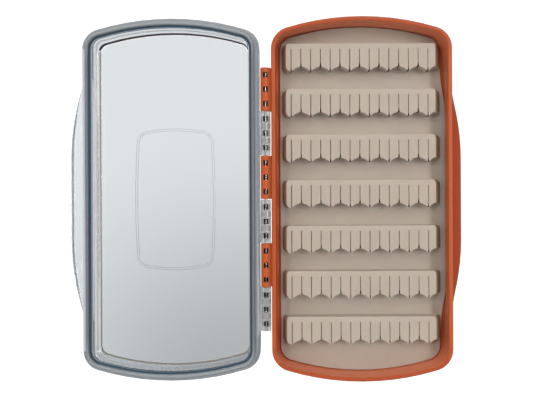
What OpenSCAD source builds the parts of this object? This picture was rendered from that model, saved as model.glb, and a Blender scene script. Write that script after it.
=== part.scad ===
// Slim two-half fly box, lying open flat on a table. The hinge axis runs along Y above x = 0.
// The base half lies on the +X side, the clear lid half on the -X side. Z = 0 is the table.

/* [Case halves] */
// Length of the base half along the hinge
case_length = 184; // [170:1:215]
// Width of the base half, from its hinge side to its front wall
case_width = 91.2; // [84:0.1:104]
// Depth of each half, from its flat outside to the parting plane
half_depth = 16; // [15:0.5:24]
// Radius of the curved ends
end_radius = 130; // [100:5:300]
// Radius of the four plan corners
corner_radius = 11; // [10:0.5:15]
// Wall thickness of the base
wall = 2.2; // [1.6:0.1:2.3]
// Floor thickness of the base
floor_thickness = 2; // [1.6:0.1:3]
// Radius along the outer bottom edges
foot_round = 4.5; // [3:0.1:5]
// Radius between the base's walls and its floor, inside
floor_fillet = 1.2; // [1:0.1:2.4]
// Radius along both edges of the rims
rim_round = 0.5; // [0.2:0.05:0.7]

/* [Finger grip] */
// How far the flared grip stands out beyond the base's front wall
grip_reach = 6.4; // [4:0.1:8]
// Straight stretch in the middle of the grip
grip_flat = 42; // [30:1:54]
// Radius of the grip's shoulders in plan
grip_shoulder_radius = 115; // [90:1:125]
// Height of the straight wall between the rim and the top of the grip
grip_land = 5.2; // [4:0.1:6]
// Slope of the grip's upper side
grip_slope = 19; // [10:1:28]
// Radius along the grip's outer lip
grip_lip_round = 1.6; // [1:0.1:2]

/* [Lid] */
// How much smaller the lid is than the base at each end
lid_inset = 0.8; // [0.6:0.1:1.2]
// How much further than that the lid's rim and its seal stand back at the front
front_setback = 1; // [0:0.1:1.2]
// Width of the clear land between the seal and the lid's inner wall
inner_land = 0.4; // [0.2:0.1:0.8]
// Width of that land along the front, where the wall carries the grip
front_land = 1.1; // [0.4:0.1:2]
// Thickness of the lid's flat panel
panel_thickness = 2; // [1.6:0.1:3]
// Radius between the lid's walls and its panel, inside
panel_fillet = 1; // [0.6:0.1:2]
// Distance between the lid's rim and the parting plane
rim_drop = 0.45; // [0.35:0.05:0.7]

/* [Lid frame line] */
// Width of the engraved frame
frame_width = 42.3; // [34:0.1:56]
// Length of the engraved frame
frame_length = 74.3; // [60:0.1:100]
// Radius of the frame's bowed sides
frame_side_radius = 450; // [300:10:900]
// Radius of the frame's bowed ends
frame_end_radius = 85; // [60:1:200]
// Radius of the frame's corners
frame_corner_radius = 6; // [4:0.5:9]
// Width of each engraved line
frame_line = 0.4; // [0.3:0.05:0.6]
// Clear distance between the two lines
frame_line_gap = 0.65; // [0.4:0.05:1.5]
// Depth of the engraved lines
frame_depth = 0.3; // [0.2:0.05:0.5]

/* [Seal] */
// Space between the seal's bead and the base's inner wall
seal_clearance = 0.5; // [0.2:0.05:0.6]
// Width of the bead that enters the base's mouth
bead_width = 1.6; // [1.4:0.05:2]
// Height of the bead above the parting plane
bead_height = 1.85; // [1.2:0.05:2.2]
// Distance of the seal's flat land from the lid's outer edge
land_margin = 0.4; // [0.3:0.05:0.6]
// Distance of that land from the lid's outer edge on the hinge side
hinge_land_margin = 1.6; // [1:0.1:1.8]
// Space left between the seal's land and the base's rim when closed
land_clearance = 0.15; // [0.1:0.05:0.3]
// Width of the flat strip inside the bead
seal_inner_strip = 1; // [0.4:0.05:1.2]
// Width of the seal's foot, which is moulded into the rim band
seal_foot_width = 1.2; // [0.8:0.1:1.6]
// Depth of the seal's foot
seal_foot_depth = 1.5; // [1:0.1:2]

/* [Hinge] */
// Distance from the hinge axis to each half's hinge-side wall
hinge_gap = 2.85; // [2.75:0.05:3.6]
// Number of interleaved knuckles, half of them on each half
knuckle_count = 6; // [2:2:6]
// Length of one knuckle along the axis
knuckle_pitch = 22; // [14:0.5:23]
// Space between neighbouring knuckles
knuckle_gap = 0.3; // [0.2:0.05:0.5]
// Radius of the knuckle barrels
barrel_radius = 2.5; // [2.1:0.05:2.55]
// Radius of the hinge pin
pin_radius = 0.6; // [0.5:0.05:0.8]
// Radial clearance of the pin in the base's knuckles
pin_seat_clearance = 0.03; // [0.01:0.01:0.05]
// Radial clearance of the pin in the lid's knuckles
pin_running_clearance = 0.06; // [0.05:0.01:0.1]
// How far the pin's ends lie inside the outermost knuckles
pin_recess = 0.4; // [0.2:0.1:1]
// Number of windows over the pin in each knuckle
window_count = 3; // [1:1:3]
// Length of a window along the pin
window_length = 2.8; // [1.8:0.1:3]
// Width of a window across the pin
window_width = 2.3; // [1.9:0.1:2.6]
// Distance from one window to the next
window_pitch = 7.2; // [6.5:0.1:7.5]

/* [Slit mat] */
// Space between the mat's sheet and the fillet round the base's floor
mat_clearance = 0.2; // [0.05:0.05:1]
// Strip of bare floor between the mat and the fillet along the hinge side
bare_strip = 1; // [0:0.1:1.4]
// Thickness of the mat's sheet
sheet_thickness = 1.5; // [1:0.1:2]
// Height of the rows above the sheet
row_height = 6.5; // [5:0.1:7.5]
// Distance from the base's back end to the first row's straight back edge
back_end_space = 12.5; // [11.5:0.1:16]
// Distance from the last row's tips to the base's front end
front_end_space = 17.5; // [12:0.1:24]
// Depth of a row at the tips of its scallops
row_depth = 14.2; // [11:0.1:16]
// Depth of the scallops in the front of a row
scallop_depth = 2.4; // [1:0.1:4]
// Gap between the rows' hinge-side ends and the base's inner wall
row_hinge_margin = 3.6; // [2:0.1:6]
// Gap between the rows' front ends and the base's inner wall
row_front_margin = 2; // [1.5:0.1:6]
// Radius of the two back corners of a row
row_back_round = 2.2; // [1:0.1:3]
// Distance from a row's hinge-side end to its first slit
first_slit = 4.5; // [3:0.1:6]
// Distance from one slit to the next
slit_pitch = 5; // [4:0.05:5.1]
// Width of a slit
slit_width = 0.35; // [0.3:0.05:0.8]
// Uncut stretch at the back of a row
slit_start = 2.8; // [2:0.1:5]
// Uncut height below a slit
slit_floor = 0.8; // [0.4:0.1:2]
// Width of the notch where a slit opens at the front
notch_width = 0.9; // [0.9:0.1:2]
// Length of that notch
notch_length = 3; // [1.5:0.1:4]

/* [Hidden] */
$fn = 96;

// Overlap that joins the webs to their wall, and overshoot of a cut
joint_overlap = 0.6;
cut_over = 1;

// Outlines are [width, length, end radius, corner radius], with the hinge-side edge at x = 0
base_outline = [case_width, case_length, end_radius, corner_radius];
lid_outline = inset_outline(lid_inset, 0, lid_inset + front_setback);
lid_rim = half_depth - rim_drop;
lid_reach = grip_reach + lid_inset + front_setback;

// Steps that round the corners, the curved ends, the grip, its lip and the seal's bead
corner_steps = 8;
end_steps = 10;
grip_steps = 28;
lip_steps = 4;
bead_steps = 6;

// Seal, as distances inwards from the outline it follows
seal_outline = inset_outline(0, 0, front_setback);
bead_outer = wall + seal_clearance;
bead_inner = bead_outer + bead_width;
strip_inner = bead_inner + seal_inner_strip;
foot_outer = (bead_outer + bead_inner - seal_foot_width) / 2;
land_outline = inset_outline(
    lid_inset + land_margin, hinge_land_margin, lid_inset + front_setback + land_margin
);
land_top = half_depth - land_clearance;

// Inside of the lid, which follows the seal
tray_inset = strip_inner + inner_land;
tray_outline = inset_outline(tray_inset, tray_inset, strip_inner + front_setback + front_land);

// Hinge
hinge_length = knuckle_count * knuckle_pitch;
pin_length = hinge_length - knuckle_gap - 2 * pin_recess;
web_height = barrel_radius - rim_drop;

// Slit mat
sheet_top = floor_thickness + sheet_thickness;
row_count = 7;
first_row_back = case_length / 2 - back_end_space;
row_pitch = (case_length - back_end_space - front_end_space - row_depth) / (row_count - 1);
row_start = wall + row_hinge_margin;
row_end = case_width - wall - row_front_margin;
row_length = row_end - row_start;
slit_count = 2 * floor((row_length - first_slit - slit_pitch) / (2 * slit_pitch)) + 1;
last_slit = first_slit + (slit_count - 1) * slit_pitch;
scallop_steps = 5;
row_back_steps = 4;

base_color = "#C4602C";
lid_color = "#DCE3E8";
seal_color = "#7F8486";
pin_color = "#C9CBCD";
mat_color = "#B0A090";

// The base's outline drawn inwards by its own distance at the ends, the hinge side and the front
function inset_outline(ends, hinge, front) = [
    case_width - hinge - front,
    case_length - 2 * ends,
    end_radius - ends,
    corner_radius - ends
];

// Distance from an outline's middle to its corner centres
function corner_x(outline) = outline[0] / 2 - outline[3];
function corner_y(outline) =
    outline[1] / 2 - outline[2] + sqrt(pow(outline[2] - outline[3], 2) - pow(corner_x(outline), 2));

// Half the angle of an outline's curved end
function end_angle(outline) = asin(corner_x(outline) / (outline[2] - outline[3]));

// Points along an arc. Its first and last point are left out when inner is true.
function arc_points(center, radius, from, to, steps, inner = false) = [
    for (i = inner ? [1:steps - 1] : [0:steps])
        let (angle = from + (to - from) * i / steps)
            center + radius * [cos(angle), sin(angle)]
];

// The crossing of two circles that lies above and right of the line between their centres
function circles_meet(p, p_radius, q, q_radius) =
    let (
        span = norm(q - p),
        along = (span * span + p_radius * p_radius - q_radius * q_radius) / (2 * span),
        across = sqrt(p_radius * p_radius - along * along),
        direction = (q - p) / span
    )
    p + along * direction + across * [-direction[1], direction[0]];

// How far the grip's edge stands out at a distance y from its middle: a flat stretch, a round
// shoulder and a hollow curve that leads back into the wall where the corner begins
function grip_edge(outline, reach, y) =
    let (
        span = corner_y(outline),
        rise = span - grip_flat / 2,
        shoulder = grip_shoulder_radius,
        hollow = (rise * rise / reach + reach) / 2 - shoulder,
        turn = rise * shoulder / (shoulder + hollow),
        past = abs(y) - grip_flat / 2
    )
    past <= 0 ? reach
        : past <= turn ? reach - shoulder + sqrt(shoulder * shoulder - past * past)
        : hollow - sqrt(hollow * hollow - pow(rise - past, 2));

// One level of a loft: an outline drawn inwards by inset, whose front edge bows outwards by the
// share flare of the grip's reach. Its points run counterclockwise from the hinge side's middle.
function ring(outline, inset, z, flare = 0, reach = 1, front_steps = 1) =
    let (
        middle = outline[0] / 2,
        cx = corner_x(outline),
        cy = corner_y(outline),
        turn = end_angle(outline),
        corner = outline[3] - inset,
        end_y = outline[1] / 2 - outline[2],
        end = outline[2] - inset,
        flat = concat(
            [[inset, 0]],
            arc_points([middle - cx, -cy], corner, 180, 270 - turn, corner_steps),
            arc_points([middle, -end_y], end, 270 - turn, 270 + turn, end_steps, inner = true),
            arc_points([middle + cx, -cy], corner, 270 + turn, 360, corner_steps),
            front_steps < 2 ? [] : [
                for (i = [1:front_steps - 1])
                    let (y = cy * (2 * i / front_steps - 1))
                        [outline[0] - inset + flare * grip_edge(outline, reach, y), y]
            ],
            arc_points([middle + cx, cy], corner, 0, 90 - turn, corner_steps),
            arc_points([middle, end_y], end, 90 - turn, 90 + turn, end_steps, inner = true),
            arc_points([middle - cx, cy], corner, 90 + turn, 180, corner_steps)
        )
    )
    [for (point = flat) [point[0], point[1], z]];

// Rings moved away from the hinge
function moved(rings, distance) = [for (level = rings) [for (point = level) point + [distance, 0, 0]]];

// Solid skin through a stack of rings, closed by flat caps, or by joining its last ring to the first
module loft(rings, joined = false) {
    count = len(rings[0]);
    levels = len(rings);
    polyhedron(
        points = [for (level = rings) each level],
        faces = concat(
            [
                for (i = [0:levels - (joined ? 1 : 2)], j = [0:count - 1])
                    let (
                        a = i * count,
                        b = (i + 1) % levels * count,
                        k = (j + 1) % count
                    )
                        each [[a + j, b + j, b + k], [a + j, b + k, a + k]]
            ],
            joined ? [] : [
                [for (j = [0:count - 1]) j],
                [for (j = [0:count - 1]) (levels - 1) * count + (count - j) % count]
            ]
        ),
        convexity = 6
    );
}

// Outer rings of a half, from its flat outside up to the top of its grip
function outer_rings(outline, reach) =
    let (
        land = half_depth - grip_land,
        lip = land - reach * tan(grip_slope) + grip_lip_round * (tan(grip_slope) - 1 / cos(grip_slope))
    )
    concat(
        [
            for (angle = [0:22.5:90])
                ring(
                    outline, foot_round * (1 - sin(angle)), foot_round * (1 - cos(angle)),
                    1, reach, grip_steps
                )
        ],
        [
            for (i = [0:lip_steps])
                let (angle = (90 - grip_slope) * i / lip_steps)
                    ring(
                        outline, 0, lip + grip_lip_round * sin(angle),
                        1 - grip_lip_round * (1 - cos(angle)) / reach, reach, grip_steps
                    )
        ],
        [ring(outline, 0, land, 0, reach, grip_steps)]
    );

// Rings round the outer edge of a rim, up to height
function rim_rings(outline, reach, height) = [
    for (angle = [0:30:90])
        ring(
            outline, rim_round * (1 - cos(angle)), height - rim_round * (1 - sin(angle)),
            0, reach, grip_steps
        )
];

// Rings down a fillet between a wall, drawn inwards by inset, and the floor at height
function fillet_rings(outline, inset, height, fillet, flare, reach) = [
    for (angle = [0:22.5:90])
        ring(
            outline, inset + fillet * (1 - cos(angle)), height + fillet * (1 - sin(angle)),
            flare, reach, grip_steps
        )
];

// Inner rings of the base, from the wall below the rim, which the grip hollows out, down to the floor
function base_inner_rings() =
    let (land = half_depth - grip_land - wall / cos(grip_slope))
    concat(
        [
            ring(base_outline, wall, land + wall * tan(grip_slope), 0, grip_reach, grip_steps),
            ring(base_outline, wall, land - (grip_reach - wall) * tan(grip_slope), 1, grip_reach, grip_steps)
        ],
        fillet_rings(base_outline, wall, floor_thickness, floor_fillet, 1, grip_reach)
    );

// Inner rings of the lid, whose walls stand straight round its tray, below a chamfer
function lid_inner_rings() =
    let (chamfer = inner_land / 2)
    moved(
        concat(
            [ring(tray_outline, -chamfer, lid_rim, 0, lid_reach, grip_steps)],
            [ring(tray_outline, 0, lid_rim - chamfer, 0, lid_reach, grip_steps)],
            fillet_rings(tray_outline, 0, panel_thickness, panel_fillet, 0, lid_reach)
        ),
        tray_inset
    );

// Knuckle barrels with webs to the wall at x = hinge_gap, drilled for the pin. first is 0 or 1.
module knuckles(first, clearance) {
    length = knuckle_pitch - knuckle_gap;
    for (i = [first:2:knuckle_count - 1])
        translate([0, hinge_length / 2 - (i + 0.5) * knuckle_pitch, half_depth])
            difference() {
                rotate([90, 0, 0])
                    union() {
                        cylinder(h = length, r = barrel_radius, center = true);
                        translate([0, -barrel_radius, -length / 2])
                            cube([hinge_gap + joint_overlap, web_height, length]);
                    }
                rotate([90, 0, 0])
                    cylinder(h = length + cut_over, r = pin_radius + clearance, center = true);
                for (k = [0:window_count - 1])
                    translate([0, (k - (window_count - 1) / 2) * window_pitch, barrel_radius / 2])
                        cube([window_width, window_length, 2 * barrel_radius - cut_over], center = true);
                for (k = [0:window_count])
                    if (k > 0 && k < window_count)
                        translate([0, (k - window_count / 2) * window_pitch, -barrel_radius])
                            cube([window_width, window_length, 2 * barrel_radius], center = true);
            }
}

module base_shell() {
    inner_rim = [
        for (angle = [90:-30:0])
            ring(
                base_outline, wall - rim_round * (1 - cos(angle)), half_depth - rim_round * (1 - sin(angle)),
                0, grip_reach, grip_steps
            )
    ];
    color(base_color) {
        translate([hinge_gap, 0, 0])
            loft(concat(
                outer_rings(base_outline, grip_reach),
                rim_rings(base_outline, grip_reach, half_depth),
                inner_rim,
                base_inner_rings()
            ));
        knuckles(0, pin_seat_clearance);
    }
}

// The loop of one engraved line, drawn inwards by inset
module frame_loop(inset) {
    end_center = [0, frame_length / 2 - frame_end_radius];
    side_center = [frame_width / 2 - frame_side_radius, 0];
    corner = circles_meet(
        side_center, frame_side_radius - frame_corner_radius,
        end_center, frame_end_radius - frame_corner_radius
    );
    side_turn = atan2(corner[1] - side_center[1], corner[0] - side_center[0]);
    end_turn = atan2(corner[1] - end_center[1], corner[0] - end_center[0]);
    quarter = concat(
        arc_points(side_center, frame_side_radius - inset, 0, side_turn, 3),
        arc_points(corner, frame_corner_radius - inset, side_turn, end_turn, 6),
        arc_points(end_center, frame_end_radius - inset, end_turn, 90, 3)
    );
    for (x = [0, 1], y = [0, 1])
        mirror([x, 0])
            mirror([0, y])
                polygon(concat([[0, 0]], quarter));
}

// One engraved line
module frame_line_plan(inset) {
    difference() {
        frame_loop(inset);
        frame_loop(inset + frame_line);
    }
}

// The lid is drawn on the base's side and mirrored to its place. Its rim carries the seal, whose
// foot has a groove there.
module lid_shell() {
    groove = [
        [foot_outer, lid_rim],
        [foot_outer, lid_rim - seal_foot_depth],
        [foot_outer + seal_foot_width, lid_rim - seal_foot_depth],
        [foot_outer + seal_foot_width, lid_rim]
    ];
    color(lid_color)
        mirror([1, 0, 0]) {
            difference() {
                translate([hinge_gap, 0, 0])
                    loft(concat(
                        outer_rings(lid_outline, lid_reach),
                        rim_rings(lid_outline, lid_reach, lid_rim),
                        [
                            for (corner = groove)
                                ring(seal_outline, corner[0], corner[1], 0, lid_reach, grip_steps)
                        ],
                        lid_inner_rings()
                    ));
                translate([hinge_gap + lid_outline[0] / 2, 0, -cut_over])
                    linear_extrude(frame_depth + cut_over)
                        for (inset = [0, frame_line + frame_line_gap])
                            frame_line_plan(inset);
            }
            knuckles(1, pin_running_clearance);
        }
}

// Flat land, rounded bead, inner strip, and the foot that fills the lid's groove
module lid_seal() {
    round = bead_width / 2;
    crown = half_depth + bead_height - round;
    foot = [
        [foot_outer + seal_foot_width, lid_rim],
        [foot_outer + seal_foot_width, lid_rim - seal_foot_depth],
        [foot_outer, lid_rim - seal_foot_depth],
        [foot_outer, lid_rim]
    ];
    bead = concat(
        [[bead_outer, land_top]],
        arc_points([bead_outer + round, crown], round, 180, 0, bead_steps),
        [
            [bead_inner, land_top],
            [strip_inner, land_top],
            [strip_inner, lid_rim]
        ]
    );
    color(seal_color)
        mirror([1, 0, 0])
            translate([hinge_gap, 0, 0])
                loft(concat(
                    [for (corner = foot) ring(seal_outline, corner[0], corner[1])],
                    moved([for (height = [lid_rim, land_top]) ring(land_outline, 0, height)], hinge_land_margin),
                    [for (corner = bead) ring(seal_outline, corner[0], corner[1])]
                ), joined = true);
}

module hinge_pin() {
    chamfer = pin_radius / 3;
    color(pin_color)
        translate([0, 0, half_depth])
            rotate([90, 0, 0])
                translate([0, 0, -pin_length / 2])
                    rotate_extrude()
                        polygon([
                            [0, 0],
                            [pin_radius - chamfer, 0],
                            [pin_radius, chamfer],
                            [pin_radius, pin_length - chamfer],
                            [pin_radius - chamfer, pin_length],
                            [0, pin_length]
                        ]);
}

// Sheet of the mat, which follows the bowed front of the base's floor
module mat_sheet() {
    plan = [case_width - bare_strip, case_length, end_radius, corner_radius];
    outline = ring(plan, wall + floor_fillet + mat_clearance, 0, 1, grip_reach, grip_steps);
    color(mat_color)
        translate([hinge_gap + bare_strip, 0, floor_thickness])
            linear_extrude(sheet_thickness)
                polygon([for (point = outline) [point[0], point[1]]]);
}

// How deep a row is at a distance along it. Tips stand at every other slit, from the first to the
// last, with an arch between two tips, a rounded corner before the first and half an arch at the end.
function row_front(along) =
    let (
        after = (along - last_slit) / (row_length - last_slit),
        turns = after > 0 ? after : (along - first_slit) / slit_pitch,
        before = max(0, 1 - along / first_slit)
    )
    row_depth - scallop_depth * (before > 0 ? 1 - sqrt(1 - before * before) : abs(sin(90 * turns)));

// Plan of one row, with its back edge on y = 0 and its front towards -Y
module row_plan() {
    stations = concat(
        [for (i = [0:scallop_steps - 1]) first_slit * i / scallop_steps],
        [for (i = [0:(slit_count - 1) * scallop_steps]) first_slit + slit_pitch * i / scallop_steps],
        [for (i = [1:scallop_steps]) last_slit + (row_length - last_slit) * i / scallop_steps]
    );
    polygon(concat(
        arc_points([row_back_round, -row_back_round], row_back_round, 90, 180, row_back_steps),
        [for (along = stations) [along, -row_front(along)]],
        arc_points([row_length - row_back_round, -row_back_round], row_back_round, 0, 90, row_back_steps)
    ));
}

// Slits of one row, each with its notch at the front
module slits() {
    for (i = [0:slit_count - 1]) {
        x = first_slit + i * slit_pitch;
        front = row_front(x);
        translate([x - slit_width / 2, -row_depth - cut_over])
            square([slit_width, row_depth + cut_over - slit_start]);
        polygon([
            [x, notch_length - front],
            [x - notch_width / 2, -front],
            [x - notch_width / 2, -front - cut_over],
            [x + notch_width / 2, -front - cut_over],
            [x + notch_width / 2, -front]
        ]);
    }
}

// A row, cut by its slits down to an uncut foot. number counts from the +Y end.
module slit_row(number) {
    color(mat_color)
        translate([hinge_gap + row_start, first_row_back - (number - 1) * row_pitch, sheet_top])
            difference() {
                linear_extrude(row_height)
                    row_plan();
                translate([0, 0, slit_floor])
                    linear_extrude(row_height)
                        slits();
            }
}

module slit_row_1() { slit_row(1); }
module slit_row_2() { slit_row(2); }
module slit_row_3() { slit_row(3); }
module slit_row_4() { slit_row(4); }
module slit_row_5() { slit_row(5); }
module slit_row_6() { slit_row(6); }
module slit_row_7() { slit_row(7); }

base_shell();
lid_shell();
lid_seal();
hinge_pin();
mat_sheet();
slit_row_1();
slit_row_2();
slit_row_3();
slit_row_4();
slit_row_5();
slit_row_6();
slit_row_7();
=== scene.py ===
"""Looks of a slim fly box that lies open flat: satin orange base with a silicone slit mat, clear lid with
a grey bead seal, and a knuckle hinge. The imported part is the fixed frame, and all lengths are in metres."""

import math

import bpy
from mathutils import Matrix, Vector


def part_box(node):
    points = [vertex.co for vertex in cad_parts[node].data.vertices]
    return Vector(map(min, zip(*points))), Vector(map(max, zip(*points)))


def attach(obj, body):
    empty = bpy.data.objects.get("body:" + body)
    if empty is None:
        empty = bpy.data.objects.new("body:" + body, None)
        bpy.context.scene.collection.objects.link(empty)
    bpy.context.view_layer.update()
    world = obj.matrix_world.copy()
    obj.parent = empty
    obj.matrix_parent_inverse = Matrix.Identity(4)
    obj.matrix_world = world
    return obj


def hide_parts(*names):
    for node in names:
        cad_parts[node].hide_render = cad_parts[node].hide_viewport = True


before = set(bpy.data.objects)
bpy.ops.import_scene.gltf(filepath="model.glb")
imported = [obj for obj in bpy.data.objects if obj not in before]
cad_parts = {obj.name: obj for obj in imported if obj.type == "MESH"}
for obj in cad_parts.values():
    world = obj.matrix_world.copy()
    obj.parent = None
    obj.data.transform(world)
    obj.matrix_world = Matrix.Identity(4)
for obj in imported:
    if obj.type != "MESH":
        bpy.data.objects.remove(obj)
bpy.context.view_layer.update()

MM = 0.001

# The photograph's view: straight down near the hinge's middle, rolled a little, with the hinge axis
# at a named pixel column and the box's middle at a named row. The scale holds in the rims' plane.
PHOTO_WIDTH_PX = 533
PHOTO_HEIGHT_PX = 400
PHOTO_SCALE = 0.5023 * MM
HINGE_COLUMN_PX = 265.8
MIDDLE_ROW_PX = 199.25
CAMERA_OVER_RIM = 330 * MM
CAMERA_X = 3 * MM
CAMERA_Y = 4.5 * MM
CAMERA_ROLL = math.radians(-0.25)
CAMERA_CLIP = (0.01, 20)
SENSOR_WIDTH = 36

# Sizes that are the same in the part's source
BARREL_RADIUS = 2.5 * MM
HINGE_GAP = 2.85 * MM
RIM_DROP = 0.45 * MM
LID_PANEL_TOP = 2 * MM

# Places worked out from the frame
RIM_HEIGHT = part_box("base_shell")[1].z - BARREL_RADIUS
HINGE_AXIS_HEIGHT = RIM_HEIGHT
LID_RIM = RIM_HEIGHT - RIM_DROP
SHEET_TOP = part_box("mat_sheet")[1].z
ROW_NODES = [f"slit_row_{i}" for i in range(1, 8)]

# How near to a height a corner has to be to lie on it, and how near two corners are merged
LEVEL = 0.01 * MM
MERGE = 0.002 * MM

# Edges sharper than these angles, in degrees, stay creased
CASE_CREASE = 32
SOFT_CREASE = 40
PIN_CREASE = 30

# Faces that turn less than these angles, in degrees, are joined before an edge is rounded
SHEET_FLATNESS = 0.3
ROW_FLATNESS = 1

# Borders of the painted shade, painted light and painted reflection, as the photograph shows them from above.
# Both ends of the box look alike, and a surface with an end colour turns to it between END_TONE's two
# distances from the middle: painted shade or painted reflection towards the ends.
END_TONE = (68 * MM, 86 * MM)
END_LAND_FROM = 72 * MM
GRIP_REACH = 6 * MM
WALL_MARGIN = 1 * MM
WINDOW_MARGIN = 0.15 * MM

# The lid's painted shade and highlights: the grey streak of painted shade round its tray's wall and the one
# on the grip's side, the height over which that side turns to the land's painted shade, the painted dark line
# at the wall's foot, and the bands of painted shade round the rim
LID_SHADE_STREAK = (9.5 * MM, 12.2 * MM)
LID_FRONT_SHADE_STREAK = (7.3 * MM, 9.5 * MM)
LID_WALL_TOP = 14 * MM
LID_LINE_TOP = 5.2 * MM
LAND_DEPTH = 0.6 * MM
LAND_HINGE_STRIP = 1.7 * MM
HINGE_EDGE = (0.3 * MM, 0.05 * MM)
LOWER_EDGE_DEPTH = 1.2 * MM
LOWER_EDGE_WIDTH = 3 * MM
RIM_DEPTH = 0.1 * MM
RIM_MARGIN = 1 * MM
ETCH_DEPTH = 0.31 * MM
ETCH_HALF_WIDTH = 25 * MM
ETCH_HALF_LENGTH = 40 * MM
KNUCKLE_MARGIN = 0.1 * MM
KNUCKLE_FROM = 13 * MM

# The seal: how much fuller it is than the solid, and where its painted shade lies: its strip by the hinge,
# and its bead and inner strip
SEAL_SWELL = 0.02 * MM
SEAL_HINGE_STRIP = 2.9 * MM
BEAD_FROM = 0.05 * MM
STRIP_DEPTH = 0.3 * MM

# The mat: how far a row's two ends lean in from foot to top and over what length, how far its far foot
# reaches out, how far the sheet's upper side does at its ends, and the rounding of edges
ROW_END_LEAN = (1.8 * MM, 2.9 * MM)
ROW_END_REACH = (4.2 * MM, 6.4 * MM)
ROW_FOOT_REACH = 0.8 * MM
ROW_ROUND = 0.9 * MM
ROW_ROUND_REACH = (2.6 * MM, 3.6 * MM)
SLIT_ROUND_SHARE = 0.28
# Where a row's painted shade on its ends stops, and the painted shade in its notches starts, measured from
# each end
ROW_SHADE_REACH = (2.2 * MM, 3.2 * MM)
SHEET_OVERHANG = 1 * MM
SHEET_ROUND = 0.35 * MM
ROUND_SEGMENTS = 3


# ---- helpers for modelling ----

def deselect_all():
    if bpy.context.object and bpy.context.object.mode != "OBJECT":
        bpy.ops.object.mode_set(mode="OBJECT")
    bpy.ops.object.select_all(action="DESELECT")


def take_up(piece):
    """Makes piece the only selected object and the active one."""
    deselect_all()
    piece.select_set(True)
    bpy.context.view_layer.objects.active = piece


def edit_all():
    """Opens the piece in hand in edit mode, with all of its mesh selected."""
    bpy.ops.object.mode_set(mode="EDIT")
    bpy.ops.mesh.select_all(action="SELECT")


def copy_of_node(node, name):
    """A merged copy of a CAD node's mesh, ready to be shaped."""
    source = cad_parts[node]
    piece = bpy.data.objects.new(name, source.data.copy())
    bpy.context.scene.collection.objects.link(piece)
    piece.data.materials.clear()
    take_up(piece)
    bpy.ops.mesh.customdata_custom_splitnormals_clear()
    edit_all()
    bpy.ops.mesh.remove_doubles(threshold=MERGE)
    bpy.ops.object.mode_set(mode="OBJECT")
    return piece


def join_flat_faces(degrees):
    """Joins the faces of the piece in hand that turn less than an angle."""
    edit_all()
    bpy.ops.mesh.dissolve_limited(angle_limit=math.radians(degrees))
    bpy.ops.object.mode_set(mode="OBJECT")


def smooth_by_angle(piece, degrees):
    take_up(piece)
    bpy.ops.object.shade_smooth_by_angle(angle=math.radians(degrees))


def apply_modifier(piece, kind, **settings):
    take_up(piece)
    modifier = piece.modifiers.new(kind.lower(), kind)
    for key, value in settings.items():
        setattr(modifier, key, value)
    bpy.ops.object.modifier_apply(modifier=modifier.name)


def select_where(piece, edges=None, verts=None):
    """In object mode, selects just what the given test accepts, and sets edit mode's select mode to match."""
    mesh = piece.data
    for group in (mesh.vertices, mesh.edges, mesh.polygons):
        for item in group:
            item.select = False
    bpy.context.tool_settings.mesh_select_mode = (verts is not None, edges is not None, False)
    if verts:
        for vertex in mesh.vertices:
            vertex.select = verts(vertex.co)
    if edges:
        for edge in mesh.edges:
            a, b = (mesh.vertices[i].co for i in edge.vertices)
            edge.select = edges(a, b)


# ---- materials ----

# The places of a Mix node's colour sockets, which share their names with its other sockets
MIX_FIRST, MIX_SECOND, MIX_RESULT = 6, 7, 2


def new_material(name):
    material = bpy.data.materials.new(name)
    material.use_nodes = True
    material.node_tree.nodes.clear()
    return material


def node(material, kind, **values):
    """Adds a shader node. Values set its inputs by name, with _ for a space, or its own settings."""
    made = material.node_tree.nodes.new(kind)
    for key, value in values.items():
        socket = made.inputs.get(key.replace("_", " "))
        if socket is not None:
            socket.default_value = value
        else:
            setattr(made, key, value)
    return made


def join(material, a, output, b, entry):
    material.node_tree.links.new(a.outputs[output], b.inputs[entry])


def ramp(material, start, end, low, high, interpolation="SMOOTHSTEP"):
    """Turns values from start to end into values from low to high, and holds them level beyond."""
    return node(
        material, "ShaderNodeMapRange", interpolation_type=interpolation,
        From_Min=start, From_Max=end, To_Min=low, To_Max=high,
    )


def by_ray(material, kind, usual, special):
    """A shader that is special for one kind of ray and usual for all others."""
    rays = node(material, "ShaderNodeLightPath")
    both = node(material, "ShaderNodeMixShader")
    join(material, rays, kind, both, "Fac")
    join(material, usual, 0, both, 1)
    join(material, special, 0, both, 2)
    return both


def srgb(red, green, blue):
    """Linear colour of an sRGB colour given in 0 to 255."""
    def linear(value):
        value /= 255
        return value / 12.92 if value <= 0.04045 else ((value + 0.055) / 1.055) ** 2.4
    return (linear(red), linear(green), linear(blue), 1.0)


def turn_to_end_colour(material, place, tint, end_colour):
    """Turns a tint to the end colour towards the two ends of the box."""
    split = node(material, "ShaderNodeSeparateXYZ")
    reach = node(material, "ShaderNodeMath", operation="ABSOLUTE")
    near_end = ramp(material, *END_TONE, 0.0, 1.0)
    whole = node(material, "ShaderNodeMix", data_type="RGBA")
    whole.inputs[MIX_SECOND].default_value = end_colour
    join(material, place, "Object", split, "Vector")
    join(material, split, "Y", reach, "Value")
    join(material, reach, "Value", near_end, "Value")
    join(material, near_end, "Result", whole, "Factor")
    join(material, tint, MIX_RESULT, whole, MIX_FIRST)
    return whole


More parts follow.
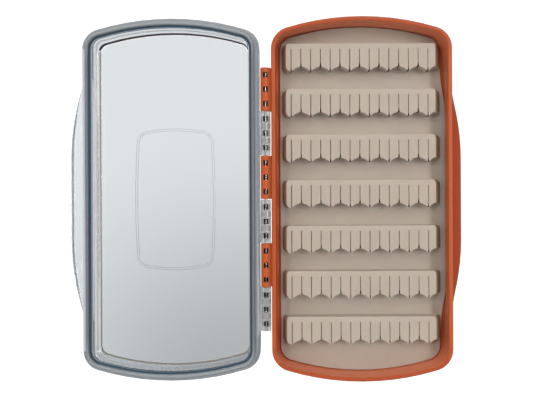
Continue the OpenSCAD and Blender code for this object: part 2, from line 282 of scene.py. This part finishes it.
def moulded_surface(
    name, colour, darker, mottle_scale, grain_scale, grain_height, roughness, spread,
    end_colour=None, **shader,
):
    """A moulded plastic or rubber: faint cloudy colour, fine grain in its bump and uneven gloss."""
    material = new_material(name)
    place = node(material, "ShaderNodeTexCoord")
    cloud = node(material, "ShaderNodeTexNoise", Scale=mottle_scale, Detail=4.0, Roughness=0.55)
    tint = node(material, "ShaderNodeMix", data_type="RGBA")
    tint.inputs[MIX_FIRST].default_value = colour
    tint.inputs[MIX_SECOND].default_value = darker
    grain = node(material, "ShaderNodeTexNoise", Scale=grain_scale, Detail=3.0, Roughness=0.6)
    bump = node(material, "ShaderNodeBump", Strength=1.0, Distance=grain_height)
    gloss = ramp(material, 0.0, 1.0, roughness - spread, roughness + spread, "LINEAR")
    surface = node(material, "ShaderNodeBsdfPrincipled", **shader)
    output = node(material, "ShaderNodeOutputMaterial")
    join(material, place, "Object", cloud, "Vector")
    join(material, place, "Object", grain, "Vector")
    join(material, cloud, "Fac", tint, "Factor")
    if end_colour:
        tint = turn_to_end_colour(material, place, tint, end_colour)
    join(material, tint, MIX_RESULT, surface, "Base Color")
    join(material, grain, "Fac", bump, "Height")
    join(material, bump, "Normal", surface, "Normal")
    join(material, cloud, "Fac", gloss, "Value")
    join(material, gloss, "Result", surface, "Roughness")
    join(material, surface, "BSDF", output, "Surface")
    return material


def clear_plastic(name, tint, roughness=0.02, transmission=1.0, ior=1.57, sheen=0.0):
    """Clear moulded plastic with faint flow waves. Lamps shine through it unbent. Tints of painted shade and
    painted highlight may let less light through, those for dark lines have a lower index so that they mirror
    less, and sheen on a white tint paints a highlight."""
    material = new_material(name)
    place = node(material, "ShaderNodeTexCoord")
    wave = node(material, "ShaderNodeTexNoise", Scale=60.0, Detail=1.0, Roughness=0.4)
    bump = node(material, "ShaderNodeBump", Strength=0.15, Distance=0.02 * MM)
    glass = node(
        material, "ShaderNodeBsdfPrincipled",
        Base_Color=tint, Roughness=roughness, IOR=ior, Transmission_Weight=transmission, Sheen_Weight=sheen,
    )
    through = node(material, "ShaderNodeBsdfTransparent", Color=(0.95, 0.96, 0.97, 1))
    output = node(material, "ShaderNodeOutputMaterial")
    join(material, place, "Object", wave, "Vector")
    join(material, wave, "Fac", bump, "Height")
    join(material, bump, "Normal", glass, "Normal")
    both = by_ray(material, "Is Shadow Ray", glass, through)
    join(material, both, "Shader", output, "Surface")
    return material


def pin_steel():
    """Bright drawn wire with fine scratches along it."""
    material = new_material("pin_steel_wire")
    place = node(material, "ShaderNodeTexCoord")
    stretch = node(material, "ShaderNodeMapping", Scale=(9000.0, 300.0, 9000.0))
    scratch = node(material, "ShaderNodeTexNoise", Scale=1.0, Detail=2.0)
    gloss = ramp(material, 0.0, 1.0, 0.18, 0.34, "LINEAR")
    steel = node(material, "ShaderNodeBsdfPrincipled", Base_Color=(0.72, 0.73, 0.74, 1), Metallic=1.0)
    output = node(material, "ShaderNodeOutputMaterial")
    join(material, place, "Object", stretch, "Vector")
    join(material, stretch, "Vector", scratch, "Vector")
    join(material, scratch, "Fac", gloss, "Value")
    join(material, gloss, "Result", steel, "Roughness")
    join(material, steel, "BSDF", output, "Surface")
    return material


# What all tints of one finish share
SATIN = dict(
    mottle_scale=120.0, grain_scale=5200.0, grain_height=0.012 * MM, roughness=0.45, spread=0.05,
    Specular_IOR_Level=0.28, Sheen_Weight=0.1, Sheen_Roughness=0.4,
)
SILICONE_GRAIN = dict(mottle_scale=90.0, grain_scale=4200.0, grain_height=0.015 * MM, spread=0.05)
ELASTOMER_GRAIN = dict(mottle_scale=150.0, grain_scale=4200.0, grain_height=0.01 * MM, spread=0.06)

# Painted shade: the base's orange turns darker towards the two ends.
ORANGE = moulded_surface(
    "orange_satin", srgb(170, 78, 36), srgb(162, 72, 32), end_colour=srgb(155, 66, 29), **SATIN,
)
# Painted reflection: the base's inner walls turn lighter and pinker towards the ends.
ORANGE_WALL_REFLECTION = moulded_surface(
    "orange_satin_wall_painted_reflection", srgb(170, 78, 36), srgb(162, 72, 32), end_colour=srgb(192, 104, 68), **SATIN,
)
# Painted shade: the grip is darker all over.
ORANGE_GRIP_SHADE = moulded_surface("orange_satin_grip_painted_shade", srgb(157, 62, 28), srgb(150, 58, 25), **SATIN)
SILICONE = moulded_surface(
    "beige_silicone", srgb(167, 155, 142), srgb(159, 147, 134), roughness=0.62, **SILICONE_GRAIN,
    Specular_IOR_Level=0.4, Subsurface_Weight=0.15, Subsurface_Scale=1.5 * MM,
)
# Painted shade on the rows' sloping ends, tinted towards the orange.
ROW_END_SHADE = moulded_surface(
    "silicone_row_end_painted_shade", srgb(146, 124, 104), srgb(138, 116, 96), roughness=0.65, **SILICONE_GRAIN,
)
# Painted shade in the slits' notches.
NOTCH_SHADE = moulded_surface(
    "silicone_notch_painted_shade", srgb(62, 46, 38), srgb(54, 40, 33), roughness=0.7, **SILICONE_GRAIN,
)
SEAL_GREY = moulded_surface(
    "grey_elastomer", srgb(176, 180, 184), srgb(164, 169, 173), roughness=0.5, **ELASTOMER_GRAIN,
    Specular_IOR_Level=0.45,
)
# Painted shade on the seal's ends and hinge side.
SEAL_END_SHADE = moulded_surface(
    "grey_elastomer_end_painted_shade", srgb(134, 139, 143), srgb(124, 129, 133), roughness=0.5, **ELASTOMER_GRAIN,
    Specular_IOR_Level=0.45,
)
# Painted shade on the seal's bead, turning lighter towards the ends.
SEAL_BEAD_SHADE = moulded_surface(
    "grey_elastomer_bead_painted_shade", srgb(103, 108, 113), srgb(95, 100, 105), roughness=0.45, **ELASTOMER_GRAIN,
    end_colour=srgb(130, 135, 138), Specular_IOR_Level=0.45,
)
# Painted shade: the dark strip inside the seal's bead.
SEAL_STRIP_SHADE = moulded_surface(
    "grey_elastomer_strip_painted_shade", srgb(55, 75, 88), srgb(49, 69, 82), roughness=0.45, **ELASTOMER_GRAIN,
    Specular_IOR_Level=0.45,
)
WINDOW_SHADE = moulded_surface(
    "window_shade", srgb(44, 22, 20), srgb(36, 18, 18), roughness=0.6, **ELASTOMER_GRAIN,
)
LAND_FINISH = dict(roughness=0.2, transmission=0.4)
CLEAR = clear_plastic("clear_plastic", (0.91, 0.957, 0.98, 1))
# Painted blue-grey shade on the lid's rim inside the seal.
CLEAR_RIM_SHADE = clear_plastic("clear_plastic_rim_painted_shade", (0.17, 0.21, 0.29, 1), roughness=0.12)
# Painted grey shade on the lid's land outside the seal and on bands of the grip's wall, darker at the ends
# and by the hinge, and darkest on the hinge edge and the lower end's edge.
CLEAR_PAINTED_SHADE_LAND = clear_plastic("clear_plastic_painted_shade_land", (0.5, 0.53, 0.55, 1), **LAND_FINISH)
CLEAR_PAINTED_SHADE_LAND_END = clear_plastic("clear_plastic_painted_shade_land_end", (0.28, 0.3, 0.32, 1), **LAND_FINISH)
CLEAR_PAINTED_SHADE_LAND_DIM = clear_plastic("clear_plastic_painted_shade_land_dim", (0.12, 0.15, 0.18, 1), **LAND_FINISH)
# Painted shade: the grey streak round the tray's wall, and the wall at the lower end.
CLEAR_WALL_SHADE = clear_plastic("clear_plastic_wall_painted_shade", (0.36, 0.39, 0.42, 1), roughness=0.08, transmission=0.8)
# Painted highlight: light bands on the tray's wall and on the grip's edge.
CLEAR_EDGE_HIGHLIGHT = clear_plastic("clear_plastic_edge_painted_highlight", (0.82, 0.87, 0.9, 1), roughness=0.1, transmission=0.7)
# Painted shade: the dark line along the foot of the tray's wall.
CLEAR_LINE_SHADE = clear_plastic(
    "clear_plastic_line_painted_shade", (0.22, 0.205, 0.175, 1), roughness=0.3, transmission=0.2, ior=1.1,
)
CLEAR_SHADE = clear_plastic(
    "clear_plastic_shade", (0.028, 0.032, 0.04, 1), roughness=0.3, transmission=0.0, ior=1.1,
)
# Painted highlight: white lines at the foot of the wall and on the grip-side wall, brightened by sheen.
CLEAR_HIGHLIGHT = clear_plastic("clear_plastic_painted_highlight", (1, 1, 1, 1), roughness=0.2, transmission=0.0, sheen=1.0)
CLEAR_ETCH = clear_plastic("clear_plastic_etched", (0.48, 0.52, 0.55, 1), roughness=0.35)
CLEAR_KNUCKLE = clear_plastic(
    "clear_plastic_knuckle", (0.74, 0.76, 0.77, 1), roughness=0.18, transmission=0.7,
)
STEEL = pin_steel()


def finish_piece(piece, material, body, node):
    """Gives a finished piece its material, slot and body, and hides the CAD node it stands for."""
    piece.data.materials.clear()
    piece.data.materials.append(material)
    for face in piece.data.polygons:
        face.material_index = 0
    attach(piece, body)
    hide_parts(node)


def tint_faces(piece, material, chosen):
    """Gives a further material to the faces that chosen accepts by their place and normal. A later tint
    takes the place of an earlier one."""
    piece.data.materials.append(material)
    slot = len(piece.data.materials) - 1
    for face in piece.data.polygons:
        if chosen(face.center, face.normal):
            face.material_index = slot


# ---- the cases, the seal and the pin ----

def inside_window(place, normal):
    """Whether a face lies in a window or in the bore of a knuckle."""
    from_axis = math.hypot(place.x, place.z - HINGE_AXIS_HEIGHT)
    return from_axis < BARREL_RADIUS - WINDOW_MARGIN and abs(normal.y) < 0.99


def inside_of_crown():
    """Gives a test of whether a place lies within the loop that the seal's crown draws in plan."""
    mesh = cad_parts["lid_seal"].data
    crown_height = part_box("lid_seal")[1].z - LEVEL
    loop = set()
    for edge in mesh.edges:
        ends = [mesh.vertices[i].co for i in edge.vertices]
        if min(end.z for end in ends) > crown_height:
            loop.add(frozenset((round(end.x, 6), round(end.y, 6)) for end in ends))
    stretches = [tuple(ends) for ends in loop if len(ends) == 2]

    def inside(place):
        crossings = 0
        for (ax, ay), (bx, by) in stretches:
            if (ay > place.y) != (by > place.y):
                crossings += ax + (place.y - ay) / (by - ay) * (bx - ax) > place.x
        return crossings % 2 == 1

    return inside


def make_base_case():
    """The base, with painted reflection on its inner walls towards the ends, and painted shade on its grip
    and in its windows.
    """
    piece = copy_of_node("base_shell", "base_case")
    smooth_by_angle(piece, CASE_CREASE)
    finish_piece(piece, ORANGE, "base", "base_shell")
    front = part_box("base_shell")[1].x
    middle_x = (front + HINGE_GAP) / 2
    grip_from = front - GRIP_REACH

    def on_inner_wall(place, normal):
        looks_in = normal.y * place.y + normal.x * (place.x - middle_x) < 0
        above_mat = place.z > SHEET_TOP - WALL_MARGIN
        within_case = HINGE_GAP + WALL_MARGIN < place.x < grip_from
        return looks_in and abs(normal.z) < 0.6 and above_mat and within_case

    # Painted reflection on the inner walls towards the ends.
    tint_faces(piece, ORANGE_WALL_REFLECTION, on_inner_wall)
    # Painted shade on the grip.
    tint_faces(piece, ORANGE_GRIP_SHADE, lambda place, normal: place.x > grip_from and place.z < RIM_HEIGHT)
    tint_faces(piece, WINDOW_SHADE, inside_window)


def make_lid_case():
    """The lid. Its tray's wall is cut level at each border of its painted streaks and lines, so that the
    faces between them take painted shade and painted highlights of their own."""
    piece = copy_of_node("lid_shell", "lid_case")
    for height in sorted({LID_LINE_TOP, LID_WALL_TOP, *LID_SHADE_STREAK, *LID_FRONT_SHADE_STREAK}):
        edit_all()
        bpy.ops.mesh.bisect(plane_co=(0, 0, height), plane_no=(0, 0, 1))
        bpy.ops.object.mode_set(mode="OBJECT")
    smooth_by_angle(piece, CASE_CREASE)
    finish_piece(piece, CLEAR, "lid", "lid_shell")
    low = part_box("lid_shell")[0]
    middle_x = (low.x - HINGE_GAP) / 2
    inside_seal = inside_of_crown()

    def looks_in(place, normal):
        return normal.x * (middle_x - place.x) - normal.y * place.y > 0 and inside_seal(place)

    def on_wall(place, normal):
        return looks_in(place, normal) and abs(normal.z) < 0.2 and place.z > LID_PANEL_TOP

    def on_grip_wall(place, normal):
        return normal.x > 0.95 and on_wall(place, normal)

    def on_fillet(place, normal, least, most):
        return looks_in(place, normal) and least < normal.z < most and place.z < LID_LINE_TOP

    def on_land(place):
        return place.z > LID_RIM - LAND_DEPTH and place.x < -HINGE_GAP and not inside_seal(place)

    def on_hinge_edge(place, normal):
        beside_gap = -HINGE_GAP - HINGE_EDGE[0] < place.x < -HINGE_GAP + HINGE_EDGE[1]
        return place.z > LID_RIM - LAND_DEPTH and beside_gap and normal.x > 0.3

    def on_lower_edge(place, normal):
        near_end = place.y < low.y + LOWER_EDGE_WIDTH
        return place.z > LID_RIM - LOWER_EDGE_DEPTH and normal.y < -0.35 and near_end

    # Painted highlights, painted shade and painted dark lines on the tray's wall and its foot, the rim and
    # the land; the etched frame and the knuckles have tints of their own.
    tint_faces(piece, CLEAR_EDGE_HIGHLIGHT, lambda place, normal: (
        looks_in(place, normal) and abs(normal.z) < 0.6 and place.z > LID_PANEL_TOP))
    tint_faces(piece, CLEAR_WALL_SHADE, lambda place, normal: on_wall(place, normal) and (
        LID_SHADE_STREAK[0] < place.z < LID_SHADE_STREAK[1] or normal.y > 0.5))
    tint_faces(piece, CLEAR_LINE_SHADE, lambda place, normal: on_fillet(place, normal, 0.05, 0.85))
    tint_faces(piece, CLEAR_SHADE, lambda place, normal: normal.y < -0.25 and (
        on_fillet(place, normal, 0.05, 0.7) or on_wall(place, normal) and place.z < LID_LINE_TOP))
    tint_faces(piece, CLEAR_HIGHLIGHT, lambda place, normal: (
        normal.y < -0.05 and on_fillet(place, normal, 0.7, 0.99)
        or on_grip_wall(place, normal) and (
            place.z < LID_LINE_TOP or LID_FRONT_SHADE_STREAK[1] < place.z < LID_WALL_TOP)))
    tint_faces(piece, CLEAR_PAINTED_SHADE_LAND, lambda place, normal: on_grip_wall(place, normal) and (
        LID_FRONT_SHADE_STREAK[0] < place.z < LID_FRONT_SHADE_STREAK[1] or place.z > LID_WALL_TOP))
    tint_faces(piece, CLEAR_PAINTED_SHADE_LAND, lambda place, normal: on_land(place))
    tint_faces(piece, CLEAR_PAINTED_SHADE_LAND_END, lambda place, normal: on_land(place) and (
        abs(place.y) > END_LAND_FROM or place.x > -HINGE_GAP - LAND_HINGE_STRIP))
    tint_faces(piece, CLEAR_PAINTED_SHADE_LAND_DIM, lambda place, normal: (
        on_hinge_edge(place, normal) or on_lower_edge(place, normal)))
    tint_faces(piece, CLEAR_RIM_SHADE, lambda place, normal: (
        normal.z > 0.99 and place.z > LID_RIM - RIM_DEPTH and place.x < -HINGE_GAP - RIM_MARGIN
        and inside_seal(place)))
    tint_faces(piece, CLEAR_EDGE_HIGHLIGHT, lambda place, normal: (
        place.x < low.x + GRIP_REACH and normal.x < -0.2 and abs(normal.z) < 0.9 and not inside_seal(place)))
    tint_faces(piece, CLEAR_ETCH, lambda place, normal: (
        0 < place.z < ETCH_DEPTH and abs(place.x - middle_x) < ETCH_HALF_WIDTH
        and abs(place.y) < ETCH_HALF_LENGTH))
    tint_faces(piece, CLEAR_KNUCKLE, lambda place, normal: (
        abs(place.x) < HINGE_GAP + KNUCKLE_MARGIN and place.z > KNUCKLE_FROM))
    tint_faces(piece, WINDOW_SHADE, inside_window)


def make_seal():
    """The seal, a hair fuller than the solid. Its sides' land keeps the plain grey; its ends and hinge side,
    its bead and the strip inside the bead each carry painted shade, the bead's lighter towards the ends."""
    piece = copy_of_node("lid_seal", "rim_seal")
    edit_all()
    bpy.ops.transform.shrink_fatten(value=SEAL_SWELL)
    bpy.ops.object.mode_set(mode="OBJECT")
    smooth_by_angle(piece, SOFT_CREASE)
    finish_piece(piece, SEAL_GREY, "lid", "lid_seal")
    inside_seal = inside_of_crown()
    tint_faces(piece, SEAL_END_SHADE, lambda place, normal: (
        abs(place.y) > END_LAND_FROM or place.x > -HINGE_GAP - SEAL_HINGE_STRIP))
    tint_faces(piece, SEAL_BEAD_SHADE, lambda place, normal: place.z > RIM_HEIGHT + BEAD_FROM)
    tint_faces(piece, SEAL_STRIP_SHADE, lambda place, normal: (
        RIM_HEIGHT - STRIP_DEPTH < place.z < RIM_HEIGHT and normal.z > 0.9 and inside_seal(place)))


def make_pin():
    piece = copy_of_node("hinge_pin", "hinge_wire")
    smooth_by_angle(piece, PIN_CREASE)
    finish_piece(piece, STEEL, "base", "hinge_pin")


# ---- the mat ----

def make_mat_sheet():
    """The mat's sheet. Its upper side reaches out towards the end walls, and its edge is rounded."""
    piece = copy_of_node("mat_sheet", "mat_floor")
    join_flat_faces(SHEET_FLATNESS)
    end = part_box("mat_sheet")[1].y
    select_where(piece, edges=lambda a, b: min(a.z, b.z) > SHEET_TOP - LEVEL)
    bpy.ops.object.mode_set(mode="EDIT")
    bpy.ops.transform.resize(value=(1, (end + SHEET_OVERHANG) / end, 1), center_override=(0, 0, SHEET_TOP))
    bpy.ops.mesh.bevel(offset=SHEET_ROUND, segments=ROUND_SEGMENTS, affect="EDGES")
    bpy.ops.object.mode_set(mode="OBJECT")
    smooth_by_angle(piece, SOFT_CREASE)
    finish_piece(piece, SILICONE, "base", "mat_sheet")


def stretch_along_row(factor, centre):
    """Scales what is selected of the row in hand along X, from a centre."""
    bpy.ops.object.mode_set(mode="EDIT")
    bpy.ops.transform.resize(value=(factor, 1, 1), center_override=centre)
    bpy.ops.object.mode_set(mode="OBJECT")


def round_top(row, low, high):
    """Rounds every edge of a row's top, those at its two ends more than the slits'."""
    weight = row.data.attributes.new("bevel_weight_edge", "FLOAT", "EDGE")
    for edge in row.data.edges:
        a, b = (row.data.vertices[i].co for i in edge.vertices)
        if min(a.z, b.z) > high.z - LEVEL:
            on_hinge_end = max(a.x, b.x) < low.x + ROW_ROUND_REACH[0]
            on_far_end = min(a.x, b.x) > high.x - ROW_ROUND_REACH[1]
            weight.data[edge.index].value = 1.0 if on_hinge_end or on_far_end else SLIT_ROUND_SHARE
    apply_modifier(
        row, "BEVEL",
        limit_method="WEIGHT", width=ROW_ROUND, segments=ROUND_SEGMENTS, use_clamp_overlap=True,
    )
    row.data.attributes.remove(row.data.attributes["bevel_weight_edge"])


def make_rows():
    """Shapes one row: its two ends lean in towards the top, its far foot reaches out, and its top is
    rounded. The other rows are copies of it, each with its own mesh."""
    piece = copy_of_node(ROW_NODES[0], "mat_row_1")
    low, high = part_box(ROW_NODES[0])
    join_flat_faces(ROW_FLATNESS)
    for end, inward, reach, lean in zip((low.x, high.x), (1, -1), ROW_END_REACH, ROW_END_LEAN):
        select_where(piece, verts=lambda co: co.z > high.z - LEVEL and abs(co.x - end) < reach)
        stretch_along_row(1 - lean / reach, (end + inward * reach, 0, high.z))
    foot = high.x - ROW_END_REACH[1]
    select_where(piece, verts=lambda co: co.z < low.z + LEVEL and co.x > foot)
    stretch_along_row(1 + ROW_FOOT_REACH / ROW_END_REACH[1], (foot, 0, low.z))
    round_top(piece, low, high)
    smooth_by_angle(piece, SOFT_CREASE)
    hinge_end = low.x + ROW_SHADE_REACH[0]
    far_end = high.x - ROW_SHADE_REACH[1]
    for number, node_name in enumerate(ROW_NODES, 1):
        row = piece
        if number > 1:
            row = bpy.data.objects.new(f"mat_row_{number}", piece.data.copy())
            bpy.context.scene.collection.objects.link(row)
            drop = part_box(node_name)[1].y - high.y
            for vertex in row.data.vertices:
                vertex.co.y += drop
        finish_piece(row, SILICONE, "base", node_name)
        # Painted shade on the rows' sloping ends.
        tint_faces(row, ROW_END_SHADE, lambda place, normal: (
            (place.x < hinge_end or place.x > far_end) and 0.05 < normal.z < 0.9 and abs(normal.x) > 0.4))
        # Painted shade in the slits' notches.
        tint_faces(row, NOTCH_SHADE, lambda place, normal: (
            0.95 < abs(normal.x) < 0.9995 and normal.z < 0.05 and hinge_end < place.x < far_end))


make_base_case()
make_lid_case()
make_seal()
make_pin()
make_mat_sheet()
make_rows()


# ---- floor, light and camera ----

FLOOR_SIZE = 3.0
FLOOR_DROP = 0.05 * MM

# The floor that the lid's plastic and the box's undersides meet is dim round a spot at the lower end of
# the box, and brighter away from it
DIM_SPOT = (-0.01, -0.12, -FLOOR_DROP)
DIM_REACH = (0.02, 0.17)
DIM_GLOW = (0.5, 0.88)
SEEN_FLOOR_GLOW = 1.2

# The tent: how its light grows with height, dips straight above, where the camera stands, and leans
# towards the rows' backs. Mirrored rays also meet a pale skirt low down.
TENT_COLOUR = (0.95, 0.97, 1.0, 1)
TENT_HEIGHT = (0.1, 0.8)
TENT_GLOW = (0.04, 0.1)
ZENITH_HEIGHT = (0.88, 0.97)
ZENITH_SHARE = (1.0, 0.35)
BACKWARDS = (-0.05, 0.95, 0.0)
BACK_REACH = (-0.9, 0.9)
BACK_SHARE = (0.45, 1.55)
SKIRT_HEIGHT = (0.35, 0.75)
SKIRT_GLOW = (0.45, 0.0)


def make_floor():
    """A paper floor that the camera sees as plain white, and that other rays meet dimmer."""
    deselect_all()
    bpy.ops.mesh.primitive_plane_add(size=FLOOR_SIZE, location=(0, 0, -FLOOR_DROP))
    floor = bpy.context.object
    floor.name = "studio_floor"
    material = new_material("white_paper")
    place = node(material, "ShaderNodeTexCoord")
    away = node(material, "ShaderNodeVectorMath", operation="DISTANCE")
    away.inputs[1].default_value = DIM_SPOT
    glow = ramp(material, *DIM_REACH, *DIM_GLOW)
    paper = node(material, "ShaderNodeEmission")
    blank = node(material, "ShaderNodeEmission", Strength=SEEN_FLOOR_GLOW)
    output = node(material, "ShaderNodeOutputMaterial")
    join(material, place, "Object", away, 0)
    join(material, away, "Value", glow, "Value")
    join(material, glow, "Result", paper, "Strength")
    both = by_ray(material, "Is Camera Ray", paper, blank)
    join(material, both, "Shader", output, "Surface")
    floor.data.materials.append(material)


def area_light(name, place, width, height, power, mirrored=True):
    """A softbox that looks at the box's middle. With mirrored off, the plastic neither mirrors it nor shows
    it through."""
    data = bpy.data.lights.new(name, "AREA")
    data.shape = "RECTANGLE"
    data.size = width
    data.size_y = height
    data.energy = power
    light = bpy.data.objects.new(name, data)
    bpy.context.scene.collection.objects.link(light)
    light.location = place
    light.visible_glossy = light.visible_transmission = mirrored
    light.rotation_euler = (Vector((0, 0, 0)) - Vector(place)).to_track_quat("-Z", "Y").to_euler()


def make_world():
    """The tent round the box. The camera sees it as plain white."""
    world = bpy.data.worlds.new("studio")
    bpy.context.scene.world = world
    world.use_nodes = True
    background = world.node_tree.nodes["Background"]
    background.inputs["Color"].default_value = TENT_COLOUR
    direction = node(world, "ShaderNodeTexCoord")
    split = node(world, "ShaderNodeSeparateXYZ")
    height = ramp(world, *TENT_HEIGHT, *TENT_GLOW)
    zenith = ramp(world, *ZENITH_HEIGHT, *ZENITH_SHARE)
    towards = node(world, "ShaderNodeVectorMath", operation="DOT_PRODUCT")
    towards.inputs[1].default_value = BACKWARDS
    side = ramp(world, *BACK_REACH, *BACK_SHARE, "LINEAR")
    leaning = node(world, "ShaderNodeMath", operation="MULTIPLY")
    tent = node(world, "ShaderNodeMath", operation="MULTIPLY")
    join(world, direction, "Generated", split, "Vector")
    join(world, direction, "Generated", towards, 0)
    join(world, split, "Z", height, "Value")
    join(world, split, "Z", zenith, "Value")
    join(world, towards, "Value", side, "Value")
    join(world, height, "Result", leaning, 0)
    join(world, side, "Result", leaning, 1)
    join(world, leaning, "Value", tent, 0)
    join(world, zenith, "Result", tent, 1)

    rays = node(world, "ShaderNodeLightPath")
    skirt = ramp(world, *SKIRT_HEIGHT, *SKIRT_GLOW)
    mirrored = node(world, "ShaderNodeMath", operation="MULTIPLY")
    whole = node(world, "ShaderNodeMath", operation="ADD")
    join(world, split, "Z", skirt, "Value")
    join(world, skirt, "Result", mirrored, 0)
    join(world, rays, "Is Glossy Ray", mirrored, 1)
    join(world, tent, "Value", whole, 0)
    join(world, mirrored, "Value", whole, 1)
    join(world, whole, "Value", background, "Strength")

    wall = node(world, "ShaderNodeBackground", Color=(1, 1, 1, 1), Strength=1.0)
    seen = by_ray(world, "Is Camera Ray", background, wall)
    join(world, seen, "Shader", world.node_tree.nodes["World Output"], "Surface")


def make_camera():
    data = bpy.data.cameras.new("photo_camera")
    data.sensor_width = SENSOR_WIDTH
    data.lens = SENSOR_WIDTH * CAMERA_OVER_RIM / (PHOTO_WIDTH_PX * PHOTO_SCALE)
    data.shift_x = ((PHOTO_WIDTH_PX / 2 - HINGE_COLUMN_PX) - CAMERA_X / PHOTO_SCALE) / PHOTO_WIDTH_PX
    data.shift_y = ((MIDDLE_ROW_PX - PHOTO_HEIGHT_PX / 2) - CAMERA_Y / PHOTO_SCALE) / PHOTO_WIDTH_PX
    data.clip_start, data.clip_end = CAMERA_CLIP
    camera = bpy.data.objects.new("photo_camera", data)
    bpy.context.scene.collection.objects.link(camera)
    camera.location = (CAMERA_X, CAMERA_Y, RIM_HEIGHT + CAMERA_OVER_RIM)
    camera.rotation_euler = (0, 0, CAMERA_ROLL)
    bpy.context.scene.camera = camera


make_floor()
make_world()
area_light("key_softbox", (0, 1.1, 1.3), width=1.5, height=0.4, power=9)
area_light("key_high", (0, 0.72, 1.35), width=1.5, height=0.3, power=3.3)
area_light("back_low", (0, 1.4, 0.7), width=1.5, height=0.4, power=4.3)
area_light("left_high", (-0.75, 0.2, 1.3), width=0.8, height=0.3, power=6.5, mirrored=False)
area_light("right_high", (0.75, 0.2, 1.3), width=0.8, height=0.3, power=9.2)
area_light("left_low", (-1.2, 0.2, 0.9), width=0.8, height=0.5, power=5.3, mirrored=False)
area_light("front_fill", (0, -0.95, 0.75), width=1.2, height=0.5, power=6)
area_light("front_high", (0, -0.75, 1.3), width=1.2, height=0.3, power=1)
make_camera()
bpy.context.scene.view_settings.view_transform = "Standard"
bpy.context.scene.cycles.caustics_refractive = False

deselect_all()
